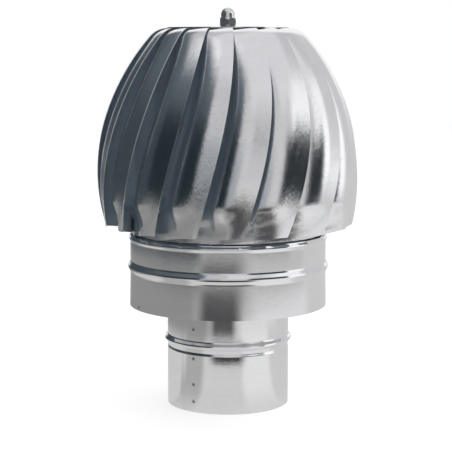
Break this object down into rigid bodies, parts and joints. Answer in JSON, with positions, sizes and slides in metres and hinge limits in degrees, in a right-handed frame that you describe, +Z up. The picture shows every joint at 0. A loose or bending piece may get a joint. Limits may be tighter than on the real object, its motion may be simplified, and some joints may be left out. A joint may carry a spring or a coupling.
{
  "type": "rotating chimney cowl",
  "caption": "Wind-driven chimney cowl: an onion-shaped rotor of overlapping scooped vanes that spins on a shaft over a beaded collar and a round flue spigot.",
  "frame": {"origin": "on the flue's axis, at the open lower edge of the spigot, which is also the middle of the bottom of the bounding box", "axes": "+Z up along the flue and the rotor's axis, -Y towards the side that the picture shows, +X to its right"},
  "size_m": [0.266, 0.2646, 0.405],
  "materials": {
    "galvanised_sheet": "bright galvanised sheet with a fine spangle",
    "bright_vane_sheet": "near-mirror galvanised sheet with a fine spangle",
    "galvanised_bracket": "dull galvanised plate",
    "turned_aluminium": "turned",
    "bearing_steel": "ground and polished",
    "zinc_plated_steel": "zinc plated",
    "polished_steel": "polished",
    "black_rubber": "matt"
  },
  "bodies": {
    "base": {"flue_spigot": "galvanised_sheet", "reducer": "galvanised_sheet", "collar": "galvanised_sheet", "bearing_spider": "galvanised_bracket", "bearing_housing": "turned_aluminium", "foot_bolts": "zinc_plated_steel", "foot_nuts": "zinc_plated_steel", "lower_bearing_outer": "bearing_steel", "lower_bearing_balls": "bearing_steel", "upper_bearing_outer": "bearing_steel", "upper_bearing_balls": "bearing_steel", "outer_spacer": "zinc_plated_steel", "housing_clip": "zinc_plated_steel"},
    "rotor": {"lower_bearing_inner": "bearing_steel", "upper_bearing_inner": "bearing_steel", "inner_spacer": "zinc_plated_steel", "shaft_clip": "zinc_plated_steel", "rotor_shaft": "zinc_plated_steel", "rain_slinger": "turned_aluminium", "bottom_ring": "galvanised_sheet", "top_disc": "galvanised_sheet", "clamp_hub": "turned_aluminium", "lock_nut": "zinc_plated_steel", "seal_washer": "black_rubber", "cap_nut": "polished_steel", "vane_01": "bright_vane_sheet", "vane_02": "bright_vane_sheet", "vane_03": "bright_vane_sheet", "vane_04": "bright_vane_sheet", "vane_05": "bright_vane_sheet", "vane_06": "bright_vane_sheet", "vane_07": "bright_vane_sheet", "vane_08": "bright_vane_sheet", "vane_09": "bright_vane_sheet", "vane_10": "bright_vane_sheet", "vane_11": "bright_vane_sheet", "vane_12": "bright_vane_sheet", "vane_13": "bright_vane_sheet", "vane_14": "bright_vane_sheet", "vane_15": "bright_vane_sheet", "vane_16": "bright_vane_sheet", "vane_17": "bright_vane_sheet", "vane_18": "bright_vane_sheet"}
  },
  "joints": [
    {"name": "rotor_spin", "type": "hinge", "parent": "base", "child": "rotor", "pos_m": [0, 0, 0.197], "axis": [0, 0, 1], "continuous": true}
  ]
}
